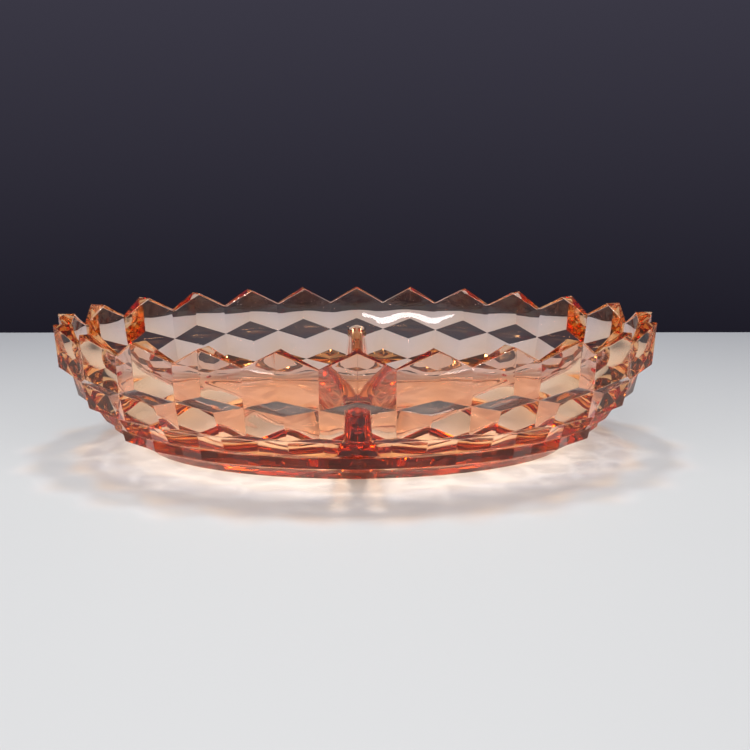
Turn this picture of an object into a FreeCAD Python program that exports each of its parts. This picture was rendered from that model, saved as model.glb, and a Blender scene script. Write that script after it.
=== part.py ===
"""Oval pressed-glass candy dish with one divider.

The outside is a stacked-cube pattern, the inside is smooth, and the whole dish
is one pressed piece of glass.  Frame: X along the long axis, Y across it, Z up,
origin at the middle of the foot, millimetres.
"""
import FreeCAD, Part
import math
import os

TEETH = 24              # points round the rim, one column of cubes under each
OUTLINE_STEPS = 3600    # chords used to share the oval's length out evenly

doc = FreeCAD.newDocument("candy_dish")


def make_sheet():
    """The driving dimensions, each in a named cell."""
    sizes = [
        # rim oval and heights
        ("rim_half_length", 127.0),
        ("rim_half_width", 85.8),
        ("point_height", 57.5),
        ("notch_height", 50.4),
        ("notch_inset", 5.6),
        # first row of cubes: underside diamond, as top, side and bottom corner
        ("cube1_top_inset", 0.9),
        ("cube1_top_height", 40.3),
        ("cube1_side_inset", 6.1),
        ("cube1_side_height", 35.9),
        ("cube1_bottom_inset", 10.4),
        ("cube1_bottom_height", 32.1),
        # second row
        ("cube2_top_inset", 8.3),
        ("cube2_top_height", 25.0),
        ("cube2_side_inset", 14.4),
        ("cube2_side_height", 21.8),
        ("cube2_bottom_inset", 19.4),
        ("cube2_bottom_height", 19.8),
        # third row
        ("cube3_top_inset", 18.2),
        ("cube3_top_height", 15.4),
        ("cube3_side_inset", 21.2),
        ("cube3_side_height", 13.8),
        ("cube3_bottom_inset", 25.0),
        ("cube3_bottom_height", 12.0),
        # low fourth row, which runs out into the foot
        ("cube4_top_inset", 22.4),
        ("cube4_top_height", 8.8),
        ("cube4_side_inset", 26.2),
        ("cube4_side_height", 7.4),
        # foot
        ("foot_top_inset", 33.5),
        ("foot_height", 3.7),
        ("foot_bottom_inset", 36.8),
        ("foot_ring_width", 5.0),
        ("foot_recess", 1.6),
        # inside of the bowl
        ("wall_top_inset", 7.0),
        ("wall_upper_inset", 7.5),
        ("wall_upper_height", 46.0),
        ("wall_middle_inset", 11.6),
        ("wall_middle_height", 36.0),
        ("wall_lower_inset", 18.5),
        ("wall_lower_height", 25.0),
        ("bend_inset", 26.0),
        ("bend_height", 17.4),
        ("floor_inset", 36.0),
        ("floor_edge_height", 11.8),
        ("floor_height", 10.4),
        ("flat_inset", 46.0),
        # divider across the middle
        ("divider_height", 39.0),
        ("divider_top_width", 6.4),
        ("divider_foot_width", 11.2),
        ("clearance", 4.0),
    ]
    sheet = doc.addObject("Spreadsheet::Sheet", "sizes")
    for row, (alias, value) in enumerate(sizes, start=1):
        sheet.set("A%d" % row, alias)
        sheet.set("B%d" % row, "%g" % value)
        sheet.setAlias("B%d" % row, alias)
    doc.recompute()
    return sheet


sheet = make_sheet()


def size(alias):
    """A driving dimension, read from the sheet."""
    return float(sheet.get(alias))


def rim_angles():
    """Ellipse angles of every half column, evenly spaced along the rim oval."""
    half_length = size("rim_half_length")
    half_width = size("rim_half_width")
    lengths = [0.0]
    last = (0.0, half_width)
    for step in range(1, OUTLINE_STEPS + 1):
        angle = 2 * math.pi * step / OUTLINE_STEPS
        here = (half_length * math.sin(angle), half_width * math.cos(angle))
        lengths.append(lengths[-1] + math.dist(last, here))
        last = here
    angles = []
    step = 0
    for half in range(2 * TEETH):
        wanted = lengths[-1] * half / (2 * TEETH)
        while lengths[step + 1] < wanted:
            step += 1
        part = (wanted - lengths[step]) / (lengths[step + 1] - lengths[step])
        angles.append(2 * math.pi * (step + part) / OUTLINE_STEPS)
    return angles


ANGLES = rim_angles()


def corner(half, inset, height):
    """A point under half column number `half`, set in from the rim oval."""
    half_length = size("rim_half_length")
    half_width = size("rim_half_width")
    angle = ANGLES[half % (2 * TEETH)]
    out_x = math.sin(angle) * half_width
    out_y = math.cos(angle) * half_length
    scale = inset / math.hypot(out_x, out_y)
    x = half_length * math.sin(angle) - out_x * scale
    y = half_width * math.cos(angle) - out_y * scale
    return FreeCAD.Vector(x, y, height)


def cube_corner(name, half):
    """A corner of the pattern, named by its pair of cells in the sheet."""
    return corner(half, size(name + "_inset"), size(name + "_height"))


def flat_faces(*points):
    """Triangles that fan out from the first of the points."""
    faces = []
    for second, third in zip(points[1:], points[2:]):
        wire = Part.makePolygon([points[0], second, third, points[0]])
        faces.append(Part.Face(wire))
    return faces


def cube_faces(column):
    """The outside of one column of cubes, from the rim point to the foot."""
    here = 2 * column
    faces = []
    point = corner(here, 0.0, size("point_height"))
    lid = corner(here, 2 * size("wall_top_inset"), size("point_height"))
    middle = FreeCAD.Vector(0, 0, size("point_height"))
    foot_top = corner(here, size("foot_top_inset"), size("foot_height"))
    foot_bottom = corner(here, size("foot_bottom_inset"), 0.0)
    for side in (-1, 1):
        beside = here + side
        notch = cube_corner("notch", beside)
        lid_notch = corner(beside, 2 * size("wall_top_inset"), size("notch_height"))
        first_side = cube_corner("cube1_side", beside)
        second_top = cube_corner("cube2_top", beside)
        second_bottom = cube_corner("cube2_bottom", beside)
        third_side = cube_corner("cube3_side", beside)
        fourth_top = cube_corner("cube4_top", beside)
        foot_top_beside = corner(beside, size("foot_top_inset"), size("foot_height"))
        foot_bottom_beside = corner(beside, size("foot_bottom_inset"), 0.0)
        first_top = cube_corner("cube1_top", here)
        first_bottom = cube_corner("cube1_bottom", here)
        second_side = cube_corner("cube2_side", here)
        third_top = cube_corner("cube3_top", here)
        third_bottom = cube_corner("cube3_bottom", here)
        fourth_side = cube_corner("cube4_side", here)
        faces += flat_faces(point, notch, lid_notch, lid)
        faces += flat_faces(middle, lid, lid_notch)
        faces += flat_faces(point, first_top, first_side, notch)
        faces += flat_faces(first_top, first_bottom, first_side)
        faces += flat_faces(first_bottom, second_side, second_top, first_side)
        faces += flat_faces(second_side, second_bottom, second_top)
        faces += flat_faces(second_side, third_top, third_side, second_bottom)
        faces += flat_faces(third_top, third_bottom, third_side)
        faces += flat_faces(third_bottom, fourth_side, fourth_top, third_side)
        faces += flat_faces(fourth_side, foot_top, foot_top_beside, fourth_top)
        faces += flat_faces(foot_top, foot_bottom, foot_bottom_beside, foot_top_beside)
        faces += flat_faces(FreeCAD.Vector(0, 0, 0), foot_bottom_beside, foot_bottom)
    return faces


def add_outside():
    """The patterned block that the bowl is pressed into."""
    faces = []
    for column in range(TEETH):
        faces += cube_faces(column)
    shell = Part.Shell(faces)
    shell.sewShape()
    solid = Part.Solid(shell)
    if solid.Volume < 0:
        solid.reverse()
    outside = doc.addObject("Part::Feature", "outside")
    outside.Shape = solid
    return outside


def add_ellipse(name, inset, height):
    """A level oval, set in from the rim, both given as cell expressions."""
    ellipse = doc.addObject("Part::Ellipse", name)
    ellipse.setExpression("MajorRadius", "sizes.rim_half_length - " + inset)
    ellipse.setExpression("MinorRadius", "sizes.rim_half_width - " + inset)
    ellipse.setExpression("Placement.Base.z", height)
    return ellipse


def add_loft(name, sections, ruled=False):
    """A closed solid through a stack of level ovals."""
    loft = doc.addObject("Part::Loft", name)
    loft.Sections = sections
    loft.Solid = True
    loft.Ruled = ruled
    return loft


def add_bowl():
    """The smooth space inside the walls, before the divider fills its middle."""
    levels = [
        ("above", "sizes.wall_top_inset", "sizes.point_height + sizes.clearance"),
        ("top", "sizes.wall_top_inset", "sizes.point_height"),
        ("upper", "sizes.wall_upper_inset", "sizes.wall_upper_height"),
        ("middle", "sizes.wall_middle_inset", "sizes.wall_middle_height"),
        ("lower", "sizes.wall_lower_inset", "sizes.wall_lower_height"),
        ("bend", "sizes.bend_inset", "sizes.bend_height"),
        ("floor_edge", "sizes.floor_inset", "sizes.floor_edge_height"),
        ("floor", "sizes.flat_inset", "sizes.floor_height"),
    ]
    sections = [add_ellipse("oval_" + name, inset, height) for name, inset, height in levels]
    return add_loft("bowl", sections)


def add_divider_body():
    """The wall across the middle: drafted sides and a rounded top edge."""
    body = doc.addObject("PartDesign::Body", "divider")
    sketch = body.newObject("Sketcher::SketchObject", "divider_section")
    for feature in body.Origin.OriginFeatures:
        if feature.Role == "XZ_Plane":
            sketch.AttachmentSupport = (feature, [""])
    sketch.MapMode = "FlatFace"
    foot = size("divider_foot_width") / 2
    top = size("divider_top_width") / 2
    low = size("floor_height") - size("clearance")
    high = size("divider_height") - top
    left_low = FreeCAD.Vector(-foot, low, 0)
    right_low = FreeCAD.Vector(foot, low, 0)
    left_high = FreeCAD.Vector(-top, high, 0)
    right_high = FreeCAD.Vector(top, high, 0)
    crown = FreeCAD.Vector(0, high + top, 0)
    sketch.addGeometry(Part.LineSegment(left_low, right_low))
    sketch.addGeometry(Part.LineSegment(right_low, right_high))
    sketch.addGeometry(Part.Arc(right_high, crown, left_high))
    sketch.addGeometry(Part.LineSegment(left_high, left_low))
    pad = body.newObject("PartDesign::Pad", "divider_pad")
    pad.Profile = sketch
    pad.setExpression("Length", "2 * sizes.rim_half_width")
    pad.Midplane = True
    return body


def add_cut(name, base, tool):
    """base with tool taken away."""
    cut = doc.addObject("Part::Cut", name)
    cut.Base = base
    cut.Tool = tool
    return cut


def add_recess():
    """The shallow hollow under the floor that leaves the foot ring standing."""
    inset = "(sizes.foot_bottom_inset + sizes.foot_ring_width)"
    high_inset = "(sizes.foot_bottom_inset + sizes.foot_ring_width + sizes.foot_recess)"
    low = add_ellipse("oval_recess_low", inset, "-sizes.clearance")
    edge = add_ellipse("oval_recess_edge", inset, "0 mm")
    high = add_ellipse("oval_recess_high", high_inset, "sizes.foot_recess")
    return add_loft("recess", [low, edge, high], ruled=True)


compartments = add_cut("compartments", add_bowl(), add_divider_body())
hollowed = add_cut("hollowed", add_outside(), compartments)
dish = add_cut("dish", hollowed, add_recess())
dish.Label = "divided_dish"
doc.recompute()

parts = [dish]
for item in doc.Objects:
    for word in ("Invalid", "Error"):
        if word in item.State:
            raise RuntimeError("%s did not build: %s" % (item.Name, item.State))
for part in parts:
    if part.Shape.isNull() or not part.Shape.isValid():
        raise RuntimeError("%s has no valid shape" % part.Label)

os.makedirs("parts", exist_ok=True)
for part in parts:
    part.Shape.exportStep("parts/%s.step" % part.Label)
    box = part.Shape.optimalBoundingBox(False, False)
    print(part.Label, "solids", len(part.Shape.Solids), "volume", round(part.Shape.Volume),
          "size", round(box.XLength, 2), round(box.YLength, 2), round(box.ZLength, 2))
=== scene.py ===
"""Oval pressed-glass candy dish with a stacked-cube outside and one divider."""
import math

import bmesh
import bpy
import numpy as np
from mathutils import Euler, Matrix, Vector


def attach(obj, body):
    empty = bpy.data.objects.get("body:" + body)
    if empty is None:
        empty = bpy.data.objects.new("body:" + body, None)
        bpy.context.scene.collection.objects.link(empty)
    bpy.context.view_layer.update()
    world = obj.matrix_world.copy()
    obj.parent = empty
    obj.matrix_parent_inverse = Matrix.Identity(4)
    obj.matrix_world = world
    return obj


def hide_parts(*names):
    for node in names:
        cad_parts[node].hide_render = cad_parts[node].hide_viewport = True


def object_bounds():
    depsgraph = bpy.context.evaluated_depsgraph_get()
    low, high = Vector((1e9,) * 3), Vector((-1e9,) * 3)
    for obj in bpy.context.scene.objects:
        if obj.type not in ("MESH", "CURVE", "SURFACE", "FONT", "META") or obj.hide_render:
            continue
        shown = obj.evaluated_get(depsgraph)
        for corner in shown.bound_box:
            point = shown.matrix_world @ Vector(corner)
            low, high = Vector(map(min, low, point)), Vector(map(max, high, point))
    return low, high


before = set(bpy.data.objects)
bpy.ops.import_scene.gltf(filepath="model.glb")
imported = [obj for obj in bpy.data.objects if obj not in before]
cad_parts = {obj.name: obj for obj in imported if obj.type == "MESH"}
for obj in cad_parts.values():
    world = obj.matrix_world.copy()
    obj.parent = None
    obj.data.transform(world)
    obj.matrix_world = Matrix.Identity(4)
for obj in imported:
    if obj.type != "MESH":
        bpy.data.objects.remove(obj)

cad_low, cad_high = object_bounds()
MM = 0.001

# ---------------------------------------------------------------- dimensions, mm unless said otherwise
TEETH = 24                                   # points round the rim
HALVES = 2 * TEETH                           # half columns: even ones under a point, odd ones under a notch
HALF_LENGTH = (cad_high.x - cad_low.x) / 2   # of the rim oval, in metres
HALF_WIDTH = (cad_high.y - cad_low.y) / 2    # the same across it
POINT_HEIGHT = cad_high.z / MM
ARC_STEPS = 3600                             # chords used to measure the oval
STEPS = 8                                    # strips of the smooth inside per half column

# corners of the pattern from the rim down: which half columns they lie under, inset from the rim, height
POINTS, NOTCHES = 0, 1
PATTERN = {
    "point": (POINTS, 0, POINT_HEIGHT),
    "notch": (NOTCHES, 5.6, 50.4),
    "first_top": (POINTS, 0.9, 40.3),
    "first_side": (NOTCHES, 6.1, 35.9),
    "first_bottom": (POINTS, 10.4, 32.1),
    "second_top": (NOTCHES, 8.3, 25.0),
    "second_side": (POINTS, 14.4, 21.8),
    "second_bottom": (NOTCHES, 19.4, 19.8),
    "third_top": (POINTS, 18.2, 15.4),
    "third_side": (NOTCHES, 21.2, 13.8),
    "third_bottom": (POINTS, 25.0, 12.0),
    "fourth_top": (NOTCHES, 22.4, 8.8),
    "fourth_side": (POINTS, 26.2, 7.4),
}
# rings of the foot, with a corner under every half column
FOOT = {
    "foot_top": (33.5, 3.7),
    "foot_bottom": (36.8, 0.0),
}
# upright facets: two corners under a point, then two under the notch beside it
UPRIGHTS = (
    ("point", "first_top", "first_side", "notch"),
    ("first_bottom", "second_side", "second_top", "first_side"),
    ("second_side", "third_top", "third_side", "second_bottom"),
    ("third_bottom", "fourth_side", "fourth_top", "third_side"),
    ("fourth_side", "foot_top", "foot_top", "fourth_top"),
    ("foot_top", "foot_bottom", "foot_bottom", "foot_top"),
)
# inset and height of the smooth inside, from the rim to the flat floor
INSIDE = [(7.0, 57.5), (7.5, 46.0), (11.6, 36.0), (18.5, 25.0), (26.0, 17.4), (36.0, 11.8), (46.0, 10.4)]
INSIDE_ROWS = 40
NOTCH_HEIGHT = PATTERN["notch"][2]
FLOOR_HEIGHT = INSIDE[-1][1]
RIM_BLEND = 1.0                              # the inside starts to follow the rim this far below a notch
RIPPLE_DEPTH = 0.22                          # height of the waves on the smooth inside
RIPPLE_RISE = 19.0                           # distance between them up the wall
LONG_WAVE_SHARE = 0.5                        # height of the long wave, as a share of the others
LONG_WAVE_RISE = 6.0                         # climb that turns the long wave by one radian
RING_WIDTH = 5.0
RECESS_DEPTH = 1.6
DIVIDER_HEIGHT = 39.0
DIVIDER_TOP = 3.2                            # half its thickness near the top
DIVIDER_FOOT = 5.6                           # half its thickness at the floor
DIVIDER_BITE = 1.2                           # how far its ends reach into the walls
DIVIDER_ROOT = 2.0                           # how far it reaches down into the floor
FLOOR_FLARE, FLOOR_FADE = 2.6, 1.6           # extra half thickness at the floor, and the rise that fades it
WALL_FLARE, WALL_FADE = 1.6, 2.0             # the same where it meets the walls
ALONG_CUTS = 96                              # strips along the divider
SIDE_CUTS = 24                               # strips up each of its sides
TOP_CUTS = 12                                # strips over each half of its rounded top
EDGE_RADIUS = 0.4                            # how far the heat has rounded the cubes
BEVEL_SEGMENTS = 3
NORMAL_WEIGHT = 50                           # how strongly large facets set the shading


def oval_table():
    """Angles round the rim oval, and the length along it up to each of them."""
    angles = np.linspace(0, 2 * math.pi, ARC_STEPS + 1)
    points = np.stack([HALF_LENGTH * np.sin(angles), HALF_WIDTH * np.cos(angles)], 1)
    steps = np.linalg.norm(np.diff(points, axis=0), axis=1)
    return angles, np.concatenate([[0], np.cumsum(steps)])


OVAL_ANGLES, OVAL_LENGTHS = oval_table()


def oval_angle(column):
    """Ellipse angle of a column of cubes; fractions lie between columns."""
    return float(np.interp((column % TEETH) / TEETH * OVAL_LENGTHS[-1], OVAL_LENGTHS, OVAL_ANGLES))


def outer(column, inset, height):
    """A point of the outside, set in square to the rim oval."""
    angle = oval_angle(column)
    out = Vector((math.sin(angle) * HALF_WIDTH, math.cos(angle) * HALF_LENGTH)).normalized()
    x = HALF_LENGTH * math.sin(angle) - out.x * inset * MM
    y = HALF_WIDTH * math.cos(angle) - out.y * inset * MM
    return Vector((x, y, height * MM))


def inner(column, inset, height):
    """A point of the smooth inside, whose levels are ovals with shorter half axes."""
    angle = oval_angle(column)
    x = (HALF_LENGTH - inset * MM) * math.sin(angle)
    y = (HALF_WIDTH - inset * MM) * math.cos(angle)
    return Vector((x, y, height * MM))


def smooth_through(points, count):
    """count points on a Catmull-Rom curve through the given ones."""
    points = [np.array(p, float) for p in points]
    padded = [2 * points[0] - points[1]] + points + [2 * points[-1] - points[-2]]
    found = []
    for value in np.linspace(0, len(points) - 1, count):
        i = min(int(value), len(points) - 2)
        f = value - i
        a, b, c, d = padded[i:i + 4]
        found.append(0.5 * (2 * b + (c - a) * f + (2 * a - 5 * b + 4 * c - d) * f ** 2
                            + (3 * b - a - 3 * c + d) * f ** 3))
    return found


def rim_height(step):
    """Height of the rim's inner edge: points at whole columns, notches between."""
    part = abs((step / STEPS) % 2 - 1)       # 1 under a point, 0 in a notch
    return NOTCH_HEIGHT + (POINT_HEIGHT - NOTCH_HEIGHT) * part


def inside_height(step, height):
    """A level of the inside at one step round the bowl; near the rim it follows points and notches."""
    start = NOTCH_HEIGHT - RIM_BLEND
    if height <= start:
        return height
    share = (height - start) / (POINT_HEIGHT - start)
    return start + (rim_height(step) - start) * share


def ripple(column, height):
    """How far the cooling glass drew the smooth inside in or out behind the cubes."""
    behind_cubes = math.cos(2 * math.pi * column) * math.cos(2 * math.pi * height / RIPPLE_RISE)
    long_wave = math.sin(math.pi * column / 2 + height / LONG_WAVE_RISE)
    return RIPPLE_DEPTH * (behind_cubes + LONG_WAVE_SHARE * long_wave)


INSIDE_PROFILE = smooth_through(INSIDE, INSIDE_ROWS)


# ---------------------------------------------------------------- glass mesh
def add_corners(bm):
    """The corners of the pattern and the foot, by name and half column."""
    corners = {}
    for name, (first, inset, height) in PATTERN.items():
        corners[name] = {half: bm.verts.new(outer(half / 2, inset, height))
                         for half in range(first, HALVES, 2)}
    for name, (inset, height) in FOOT.items():
        corners[name] = {half: bm.verts.new(outer(half / 2, inset, height)) for half in range(HALVES)}
    return corners


def add_inside_rows(bm):
    """Rings of vertices down the smooth inside, starting at the rim's inner edge."""
    rows = []
    for inset, level in INSIDE_PROFILE:
        row = []
        for step in range(HALVES * STEPS):
            column = step / (2 * STEPS)
            height = inside_height(step, level)
            row.append(bm.verts.new(inner(column, inset + ripple(column, height), height)))
        rows.append(row)
    return rows


def add_band(bm, first, second):
    """A closed band of quads between two rings with the same number of vertices."""
    for here in range(len(first)):
        after = (here + 1) % len(first)
        bm.faces.new((first[here], first[after], second[after], second[here]))


def add_outside(bm, corners, rim):
    """The rim and the flat facets of the cubes and the foot."""
    for here in range(0, HALVES, 2):
        for side in (-1, 1):
            beside = (here + side) % HALVES
            rim_part = [rim[(here * STEPS + side * step) % len(rim)] for step in range(STEPS + 1)]
            facets = [[corners["point"][here], corners["notch"][beside]] + rim_part[::-1]]
            for upper, lower, beside_lower, beside_upper in UPRIGHTS:
                facets.append([corners[upper][here], corners[lower][here],
                               corners[beside_lower][beside], corners[beside_upper][beside]])
            for facet in facets:
                bm.faces.new(facet[::side])
        for row, middle in (("first", here), ("third", here), ("second", here + 1)):
            sides = corners[row + "_side"]
            bm.faces.new((corners[row + "_top"][middle], sides[(middle - 1) % HALVES],
                          corners[row + "_bottom"][middle], sides[(middle + 1) % HALVES]))


def add_underside(bm, foot):
    """The foot ring and the shallow hollow inside it."""
    inset = FOOT["foot_bottom"][0] + RING_WIDTH
    ring = [bm.verts.new(inner(half / 2, inset, 0)) for half in range(HALVES)]
    deep = [bm.verts.new(inner(half / 2, inset + RECESS_DEPTH, RECESS_DEPTH)) for half in range(HALVES)]
    add_band(bm, foot, ring)
    add_band(bm, ring, deep)
    bm.faces.new(deep)


def mark_melted_edges(bm, corners, rim):
    """Mark what the bevel rounds: the edges of the pattern, the foot and the rim's inner edge."""
    weights = bm.edges.layers.float["bevel_weight_edge"]
    pattern = {corner for name in PATTERN for corner in corners[name].values()}
    for edge in bm.edges:
        if edge.verts[0] in pattern and edge.verts[1] in pattern:
            edge[weights] = 1.0
    for ring in [list(corners[name].values()) for name in FOOT] + [rim]:
        for start, end in zip(ring, ring[1:] + ring[:1]):
            bm.edges.get((start, end))[weights] = 1.0


def build_shell():
    """The dish without its divider: cubes outside, smooth inside, ring under the base."""
    bm = bmesh.new()
    bm.edges.layers.float.new("bevel_weight_edge")
    corners = add_corners(bm)
    rows = add_inside_rows(bm)
    add_outside(bm, corners, rows[0])
    for upper, lower in zip(rows, rows[1:]):
        add_band(bm, upper, lower)
    bm.faces.new(rows[-1])
    add_underside(bm, list(corners["foot_bottom"].values()))
    bm.normal_update()
    bmesh.ops.recalc_face_normals(bm, faces=bm.faces)
    mark_melted_edges(bm, corners, rows[0])
    return bm


def inside_reach(height):
    """Half the width of the smooth inside at a height, across the middle of the dish."""
    insets, heights = zip(*reversed(INSIDE_PROFILE))
    return HALF_WIDTH / MM - float(np.interp(height, heights, insets))


def divider_section(along):
    """Half a section of the divider, from its root to its crown, as points across, along and up."""
    root = FLOOR_HEIGHT - DIVIDER_ROOT
    shoulder = DIVIDER_HEIGHT - DIVIDER_TOP
    section = []
    for step in range(SIDE_CUTS + 1):
        height = root + (shoulder - root) * step / SIDE_CUTS
        reach = along * (inside_reach(height + 2 * DIVIDER_BITE) + DIVIDER_BITE)
        share = (height - root) / (shoulder - root)
        thickness = DIVIDER_FOOT + (DIVIDER_TOP - DIVIDER_FOOT) * share
        to_floor = max(height - FLOOR_HEIGHT, 0)
        to_wall = max(inside_reach(height) - abs(reach), 0)
        thickness += FLOOR_FLARE * math.exp(-to_floor / FLOOR_FADE)
        thickness += WALL_FLARE * math.exp(-to_wall / WALL_FADE)
        section.append((thickness, reach, height))
    for step in range(1, TOP_CUTS + 1):
        turn = math.pi / 2 * step / TOP_CUTS
        section.append((thickness * math.cos(turn), reach, shoulder + DIVIDER_TOP * math.sin(turn)))
    return section


def build_divider():
    """The wall across the middle, rounded on top and flared into floor and walls."""
    bm = bmesh.new()
    rings = []
    for cut in range(ALONG_CUTS + 1):
        right = divider_section(-1 + 2 * cut / ALONG_CUTS)
        left = [(-x, y, z) for x, y, z in right[:-1]][::-1]
        rings.append([bm.verts.new((x * MM, y * MM, z * MM)) for x, y, z in right + left])
    for first, second in zip(rings, rings[1:]):
        add_band(bm, first, second)
    bm.faces.new(rings[0])
    bm.faces.new(rings[-1][::-1])
    bmesh.ops.recalc_face_normals(bm, faces=bm.faces)
    return bm


def new_piece(name, bm):
    """A new object from a bmesh, linked to the scene."""
    mesh = bpy.data.meshes.new(name)
    bm.to_mesh(mesh)
    bm.free()
    piece = bpy.data.objects.new(name, mesh)
    bpy.context.scene.collection.objects.link(piece)
    return piece


def apply_modifiers(piece):
    """Make the modifiers' result the piece's own mesh."""
    bpy.context.view_layer.update()
    graph = bpy.context.evaluated_depsgraph_get()
    mesh = bpy.data.meshes.new_from_object(piece.evaluated_get(graph))
    piece.modifiers.clear()
    piece.data = mesh


def build_glass():
    """The whole dish as one closed mesh with rounded edges."""
    dish = new_piece("glass_dish", build_shell())
    bevel = dish.modifiers.new("melted_edges", "BEVEL")
    bevel.width = EDGE_RADIUS * MM
    bevel.segments = BEVEL_SEGMENTS
    bevel.limit_method = "WEIGHT"
    apply_modifiers(dish)
    divider = new_piece("divider_tool", build_divider())
    join = dish.modifiers.new("divider", "BOOLEAN")
    join.operation = "UNION"
    join.solver = "MANIFOLD"
    join.object = divider
    apply_modifiers(dish)
    bpy.data.objects.remove(divider)
    for polygon in dish.data.polygons:
        polygon.use_smooth = True
    even = dish.modifiers.new("facet_normals", "WEIGHTED_NORMAL")
    even.keep_sharp = True
    even.weight = NORMAL_WEIGHT
    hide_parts("divided_dish")
    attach(dish, "root")
    return dish


# ---------------------------------------------------------------- materials
GLASS_IOR = 1.52
SURFACE_TINT = (1.0, 0.835, 0.83, 1)
DEPTH_COLOUR = (0.975, 0.61, 0.0, 1)         # what is left of white light deep in the glass
DEPTH_DENSITY = 50.0
RIPPLE_SCALE = 55.0                          # ripples per metre left by the mould
BUMP_STRENGTH = 0.25
BUMP_DISTANCE = 0.0006
HAZE_SCALE = 140.0
HAZE_ROUGHNESS = 0.012
PAINTED_POOL_STRAIGHT = (1.26, 1.24, 1.28, 1)       # painted pool of light passed on by level glass, set above white to stand in for focused light
GLANCING_LOSS_AND_PAINTED_SHADE = (0.42, 0.40, 0.43, 1)       # passed on by steep glass: partly real loss at a glancing angle, partly painted shade
GLANCE_BLEND = 0.35                          # how early a slope counts as glancing
# painted caustic light: bright lines and dimmer cells of a made-up net that the lamps carry through the
# glass to the table
PAINTED_CAUSTIC_LINES = (1.26, 1.26, 1.29, 1)
PAINTED_CAUSTIC_CELLS = (0.85, 0.81, 0.845, 1)
PAINTED_CAUSTIC_SCALE = 58.0                             # cells per metre of the painted caustic net
NET_WIDTH = 0.15                             # how far a line reaches into a cell, as a share of the cell
NET_ON_LEVEL = 0.55                          # strength of the painted caustic net on level glass
NET_STEEPNESS = (0.15, 0.45)                 # facing between which it grows to full strength


def new_material(name):
    """An empty node material: its nodes, its links and its output."""
    material = bpy.data.materials.new(name)
    material.use_nodes = True
    nodes = material.node_tree.nodes
    nodes.clear()
    output = nodes.new("ShaderNodeOutputMaterial")
    return material, nodes, material.node_tree.links, output


def node_with(nodes, kind, **values):
    """A node with some of its input sockets set; _ in a name stands for a space."""
    node = nodes.new(kind)
    for name, value in values.items():
        node.inputs[name.replace("_", " ")].default_value = value
    return node


def mixed_colour(nodes, first, second):
    """A mix of two colours, whose Factor is left for a link."""
    mix = nodes.new("ShaderNodeMix")
    mix.data_type = "RGBA"
    mix.inputs["A"].default_value = first
    mix.inputs["B"].default_value = second
    return mix


def glass_surface(nodes, links, place):
    """Clear refracting glass with the mould's faint ripple and a slightly uneven polish."""
    shader = nodes.new("ShaderNodeBsdfPrincipled")
    shader.inputs["Base Color"].default_value = SURFACE_TINT
    shader.inputs["Transmission Weight"].default_value = 1.0
    shader.inputs["IOR"].default_value = GLASS_IOR
    ripples = node_with(nodes, "ShaderNodeTexNoise", Scale=RIPPLE_SCALE, Detail=2.0)
    links.new(place.outputs["Object"], ripples.inputs["Vector"])
    bump = node_with(nodes, "ShaderNodeBump", Strength=BUMP_STRENGTH, Distance=BUMP_DISTANCE)
    links.new(ripples.outputs["Fac"], bump.inputs["Height"])
    links.new(bump.outputs["Normal"], shader.inputs["Normal"])
    haze = node_with(nodes, "ShaderNodeTexNoise", Scale=HAZE_SCALE)
    links.new(place.outputs["Object"], haze.inputs["Vector"])
    spread = node_with(nodes, "ShaderNodeMapRange", To_Min=0.0, To_Max=HAZE_ROUGHNESS)
    links.new(haze.outputs["Fac"], spread.inputs["Value"])
    links.new(spread.outputs["Result"], shader.inputs["Roughness"])
    return shader


def painted_caustic_light(nodes, links, place):
    """Painted light and shade carried to the table on shadow rays: a painted pool of light under level
    glass, painted shade under steep glass, and a painted caustic net of bright lines and dimmer cells.
    """
    through = nodes.new("ShaderNodeBsdfTransparent")
    glance = node_with(nodes, "ShaderNodeLayerWeight", Blend=GLANCE_BLEND)
    painted_pool_and_shade = mixed_colour(nodes, PAINTED_POOL_STRAIGHT, GLANCING_LOSS_AND_PAINTED_SHADE)
    links.new(glance.outputs["Fresnel"], painted_pool_and_shade.inputs["Factor"])
    # the painted caustic net: a cell pattern, not traced from the glass's shape
    painted_caustic = nodes.new("ShaderNodeTexVoronoi")
    painted_caustic.feature = "DISTANCE_TO_EDGE"
    painted_caustic.inputs["Scale"].default_value = PAINTED_CAUSTIC_SCALE
    links.new(place.outputs["Object"], painted_caustic.inputs["Vector"])
    net = node_with(nodes, "ShaderNodeMapRange", From_Max=NET_WIDTH)
    net.interpolation_type = "SMOOTHSTEP"
    links.new(painted_caustic.outputs["Distance"], net.inputs["Value"])
    cells = mixed_colour(nodes, PAINTED_CAUSTIC_LINES, PAINTED_CAUSTIC_CELLS)
    links.new(net.outputs["Result"], cells.inputs["Factor"])
    shade = nodes.new("ShaderNodeMix")
    shade.data_type = "RGBA"
    shade.blend_type = "MULTIPLY"
    steep = node_with(nodes, "ShaderNodeMapRange", From_Min=NET_STEEPNESS[0],
                      From_Max=NET_STEEPNESS[1], To_Min=NET_ON_LEVEL)
    links.new(glance.outputs["Facing"], steep.inputs["Value"])
    links.new(steep.outputs["Result"], shade.inputs["Factor"])
    links.new(painted_pool_and_shade.outputs["Result"], shade.inputs["A"])
    links.new(cells.outputs["Result"], shade.inputs["B"])
    links.new(shade.outputs["Result"], through.inputs["Color"])
    return through


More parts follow.
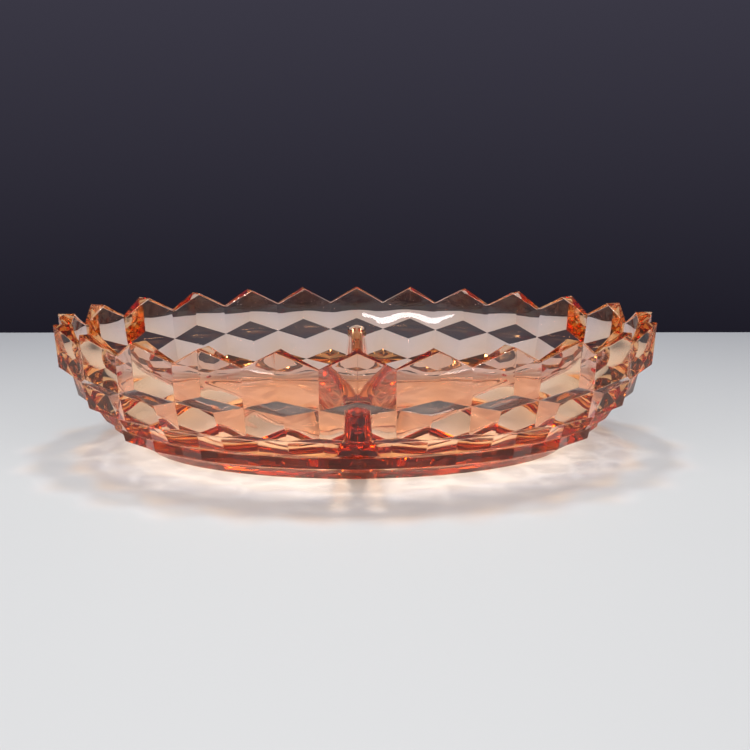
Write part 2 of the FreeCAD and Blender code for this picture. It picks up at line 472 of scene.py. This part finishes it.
def pink_glass():
    """Pale pink glass that deepens to amber red with depth."""
    material, nodes, links, output = new_material("pink_glass")
    place = nodes.new("ShaderNodeTexCoord")
    shader = glass_surface(nodes, links, place)
    through = painted_caustic_light(nodes, links, place)
    # on shadow rays the glass passes on the painted caustic light and shade instead of its own surface
    path = nodes.new("ShaderNodeLightPath")
    either = nodes.new("ShaderNodeMixShader")
    links.new(path.outputs["Is Shadow Ray"], either.inputs["Fac"])
    links.new(shader.outputs["BSDF"], either.inputs[1])
    links.new(through.outputs["BSDF"], either.inputs[2])
    links.new(either.outputs["Shader"], output.inputs["Surface"])
    depth = nodes.new("ShaderNodeVolumeAbsorption")
    depth.inputs["Color"].default_value = DEPTH_COLOUR
    depth.inputs["Density"].default_value = DEPTH_DENSITY
    links.new(depth.outputs["Volume"], output.inputs["Volume"])
    return material


def floor_material():
    """A plain pale table top with painted shade that darkens it towards its far edge."""
    material, nodes, links, output = new_material("pale_floor")
    shader = node_with(nodes, "ShaderNodeBsdfPrincipled", Roughness=TABLE_ROUGHNESS)
    place = nodes.new("ShaderNodeTexCoord")
    parts = nodes.new("ShaderNodeSeparateXYZ")
    links.new(place.outputs["Object"], parts.inputs[0])
    back = node_with(nodes, "ShaderNodeMapRange", From_Min=PAINTED_SHADE_START, From_Max=TABLE_EDGE)
    links.new(parts.outputs["Y"], back.inputs["Value"])
    painted_falloff = mixed_colour(nodes, TABLE_NEAR, TABLE_FAR_PAINTED_SHADE)
    links.new(back.outputs["Result"], painted_falloff.inputs["Factor"])
    links.new(painted_falloff.outputs["Result"], shader.inputs["Base Color"])
    links.new(shader.outputs["BSDF"], output.inputs["Surface"])
    return material


# ---------------------------------------------------------------- stage, in metres
TABLE_EDGE = 0.268                           # how far behind the dish the table ends
TABLE_TURN = math.radians(-1.05)
TABLE_REACH = 2.0                            # how far it goes to the front and sides
TABLE_GAP = 0.0002                           # keeps the foot clear of the table top
TABLE_ROUGHNESS = 0.55
TABLE_NEAR = (0.64, 0.645, 0.645, 1)
# painted shade: the table's colour at its far edge, darker as if less light reached there
TABLE_FAR_PAINTED_SHADE = (0.41, 0.42, 0.44, 1)
PAINTED_SHADE_START = -0.05                           # where the painted shade on the table begins
ROOM_LOW = (0.0125, 0.0115, 0.0190, 1)       # behind the dish, at the level of the table
ROOM_HIGH = (0.0470, 0.0440, 0.0640, 1)      # behind the dish, higher up
ROOM_FRONT = (0.85, 0.85, 0.87, 1)
ROOM_RISE = (-0.17, 0.2)                     # z of the view's direction, from the low colour to the high
ROOM_TURN = (0.05, -0.75)                    # y of the view's direction, from the room behind to the front
CAMERA_PLACE = (-0.00056, -0.39064, 0.12069)
CAMERA_PITCH = 0.22749                       # radians down
CAMERA_YAW = 0.02117                         # radians to the right
CAMERA_LENS = 44.34                          # focal length, in mm
CAMERA_SENSOR = 36                           # width of the sensor, in mm


def build_floor():
    """A pale table that ends a little way behind the dish."""
    bm = bmesh.new()
    front, sides = -TABLE_REACH, TABLE_REACH
    for x, y in ((-sides, front), (sides, front), (sides, TABLE_EDGE), (-sides, TABLE_EDGE)):
        bm.verts.new((x, y, 0))
    bm.faces.new(bm.verts)
    floor = new_piece("floor", bm)
    floor.rotation_euler.z = TABLE_TURN
    floor.location.z = -TABLE_GAP
    floor.data.materials.append(floor_material())


def add_softbox(name, place, target, size, power):
    """A rectangular light at place that points at target."""
    lamp = bpy.data.lights.new(name, "AREA")
    lamp.shape = "RECTANGLE"
    lamp.size, lamp.size_y = size
    lamp.energy = power
    light = bpy.data.objects.new(name, lamp)
    light.location = place
    light.rotation_euler = (Vector(target) - Vector(place)).to_track_quat("-Z", "Y").to_euler()
    bpy.context.scene.collection.objects.link(light)


def build_lights():
    """A softbox in front and two lamps high over the ends of the dish."""
    add_softbox("front_softbox", place=(-0.32, -1.3, 0.85), target=(0, 0, 0.03), size=(0.5, 0.35), power=8)
    for name, side in (("left_lamp", -1), ("right_lamp", 1)):
        add_softbox(name, place=(side * 0.22, 0.16, 1.15), target=(0, 0, 0), size=(0.16, 0.16), power=5.5)


def build_room():
    """A dim blue-grey room behind the dish and a bright one in front of it."""
    world = bpy.data.worlds.new("room")
    world.use_nodes = True
    nodes, links = world.node_tree.nodes, world.node_tree.links
    place = nodes.new("ShaderNodeTexCoord")
    parts = nodes.new("ShaderNodeSeparateXYZ")
    links.new(place.outputs["Generated"], parts.inputs[0])
    height = node_with(nodes, "ShaderNodeMapRange", From_Min=ROOM_RISE[0], From_Max=ROOM_RISE[1])
    links.new(parts.outputs["Z"], height.inputs["Value"])
    drop = mixed_colour(nodes, ROOM_LOW, ROOM_HIGH)
    links.new(height.outputs["Result"], drop.inputs["Factor"])
    front = node_with(nodes, "ShaderNodeMapRange", From_Min=ROOM_TURN[0], From_Max=ROOM_TURN[1])
    front.interpolation_type = "SMOOTHSTEP"
    links.new(parts.outputs["Y"], front.inputs["Value"])
    room = nodes.new("ShaderNodeMix")
    room.data_type = "RGBA"
    room.inputs["B"].default_value = ROOM_FRONT
    links.new(front.outputs["Result"], room.inputs["Factor"])
    links.new(drop.outputs["Result"], room.inputs["A"])
    links.new(room.outputs["Result"], nodes["Background"].inputs["Color"])
    bpy.context.scene.world = world


def build_camera():
    """The camera in front of the dish, a little above it."""
    data = bpy.data.cameras.new("camera")
    data.lens = CAMERA_LENS
    data.sensor_width = CAMERA_SENSOR
    camera = bpy.data.objects.new("camera", data)
    camera.location = CAMERA_PLACE
    camera.rotation_euler = Euler((math.pi / 2 - CAMERA_PITCH, 0, -CAMERA_YAW), "XYZ")
    bpy.context.scene.collection.objects.link(camera)
    bpy.context.scene.camera = camera


build_camera()
build_floor()
build_lights()
build_room()
glass = build_glass()
glass.data.materials.clear()
glass.data.materials.append(pink_glass())

cycles = bpy.context.scene.cycles
cycles.use_denoising = True
cycles.caustics_refractive = False
cycles.max_bounces = 24
cycles.transmission_bounces = 24
cycles.glossy_bounces = 12
cycles.transparent_max_bounces = 16
bpy.context.scene.view_settings.view_transform = "Standard"
